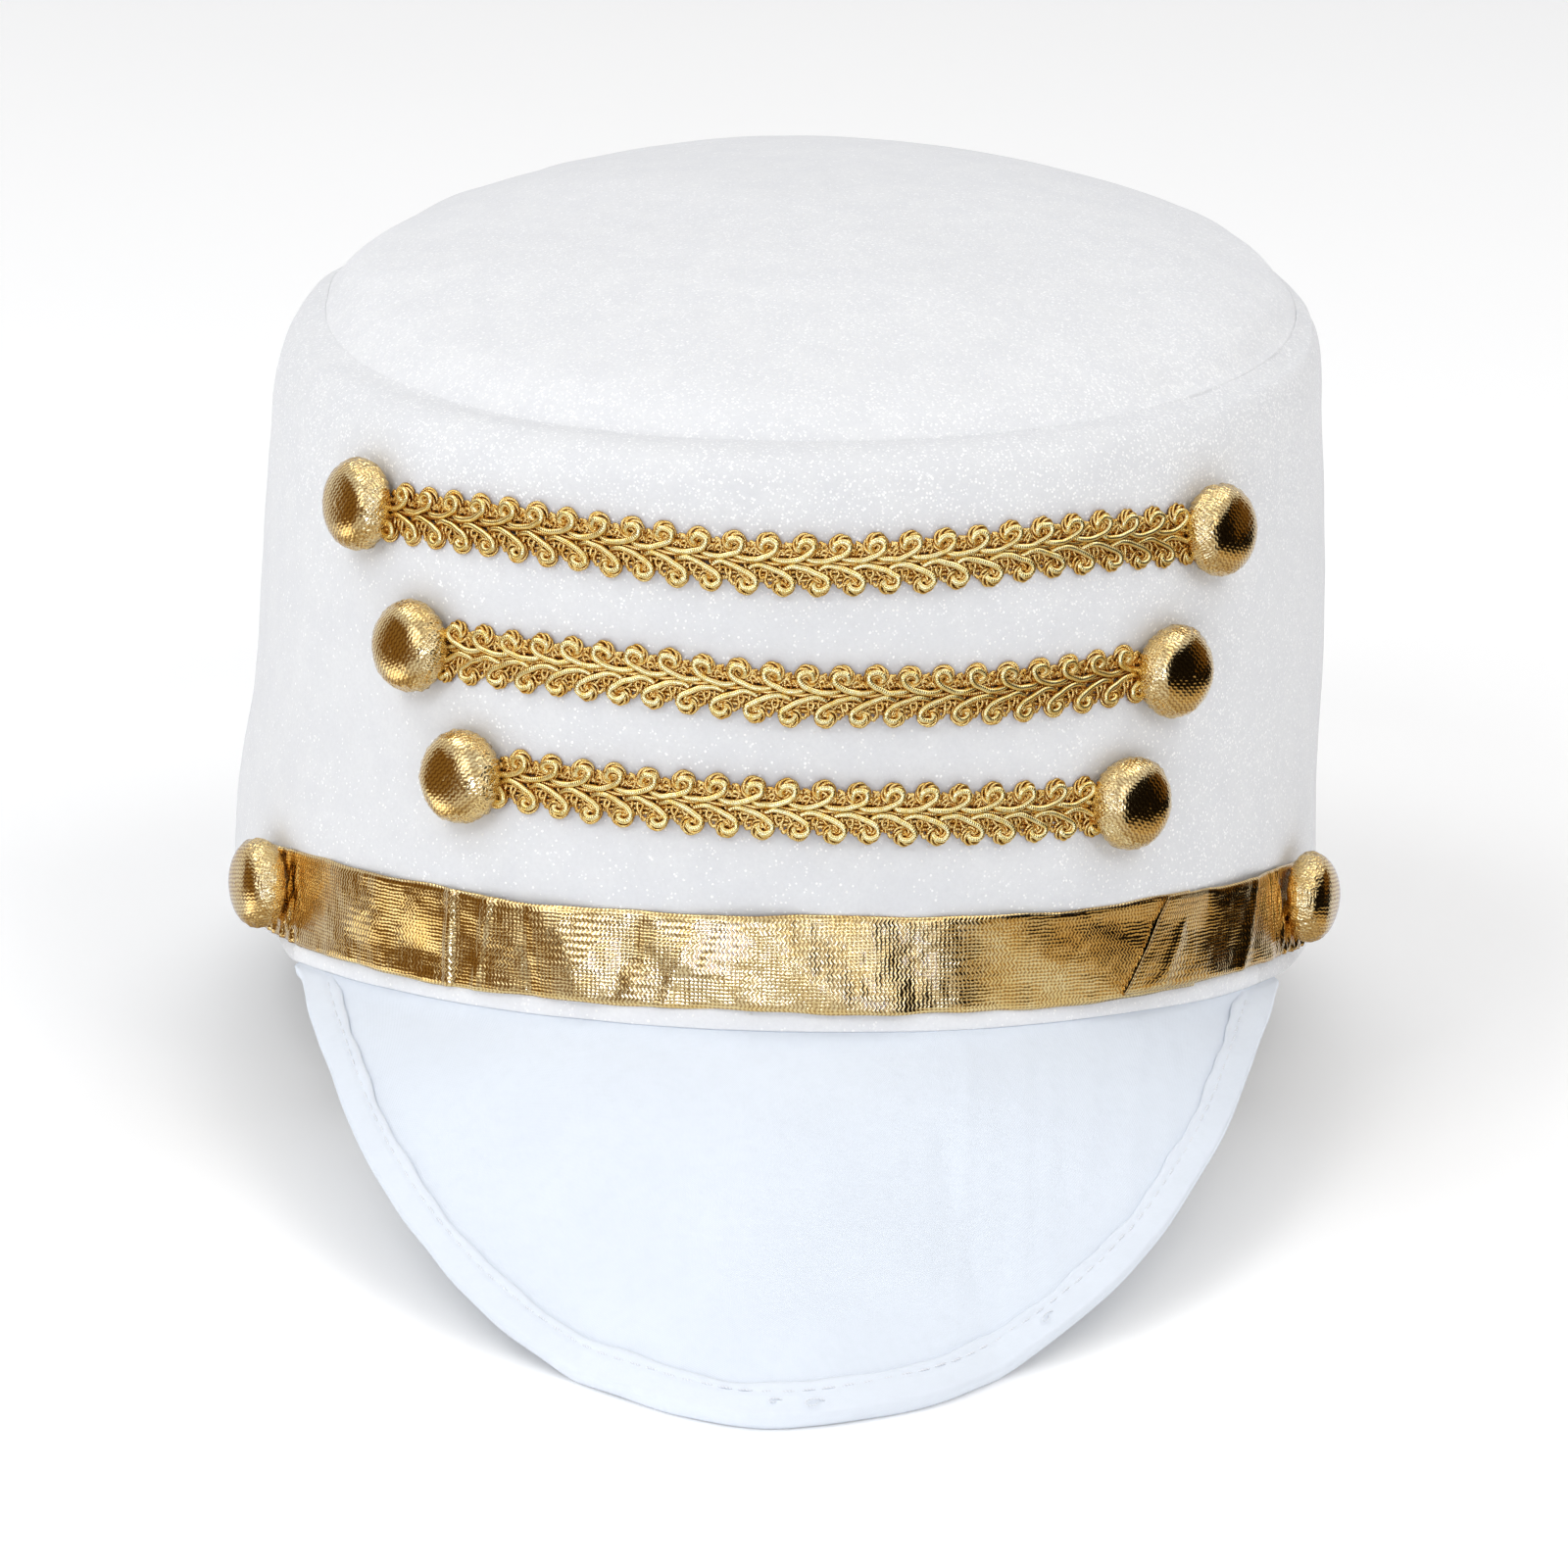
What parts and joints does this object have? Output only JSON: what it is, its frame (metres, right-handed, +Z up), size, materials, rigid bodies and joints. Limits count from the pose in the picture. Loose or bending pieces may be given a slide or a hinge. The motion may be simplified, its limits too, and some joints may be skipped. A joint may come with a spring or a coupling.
{
  "type": "majorette hat",
  "caption": "Tall white velvet parade hat with a domed top leaning forward, a stiff white peak, a gold band, rows of gold gimp braid and covered gold buttons.",
  "frame": {"origin": "centre of the outer box on the surface that the hat stands on", "axes": "+Z up, the front of the hat and its peak towards -Y, the wearer's left towards +X"},
  "size_m": [0.181, 0.2808, 0.1337],
  "materials": {
    "velvet": "white glitter velvet, short nap with fine sparkle",
    "cotton": "smooth white cotton over board",
    "lame": "gold lame, fine ribbed weave with a metallic shine",
    "gimp": "shiny gold cord gimp"
  },
  "bodies": {
    "root": {"crown_side": "velvet", "crown_top": "velvet", "gold_band": "lame", "peak": "cotton", "peak_binding": "cotton", "braid_top": "gimp", "braid_middle": "gimp", "braid_bottom": "gimp", "button_top_left": "lame", "button_top_right": "lame", "button_middle_left": "lame", "button_middle_right": "lame", "button_bottom_left": "lame", "button_bottom_right": "lame", "button_band_left": "lame", "button_band_right": "lame"}
  },
  "joints": []
}
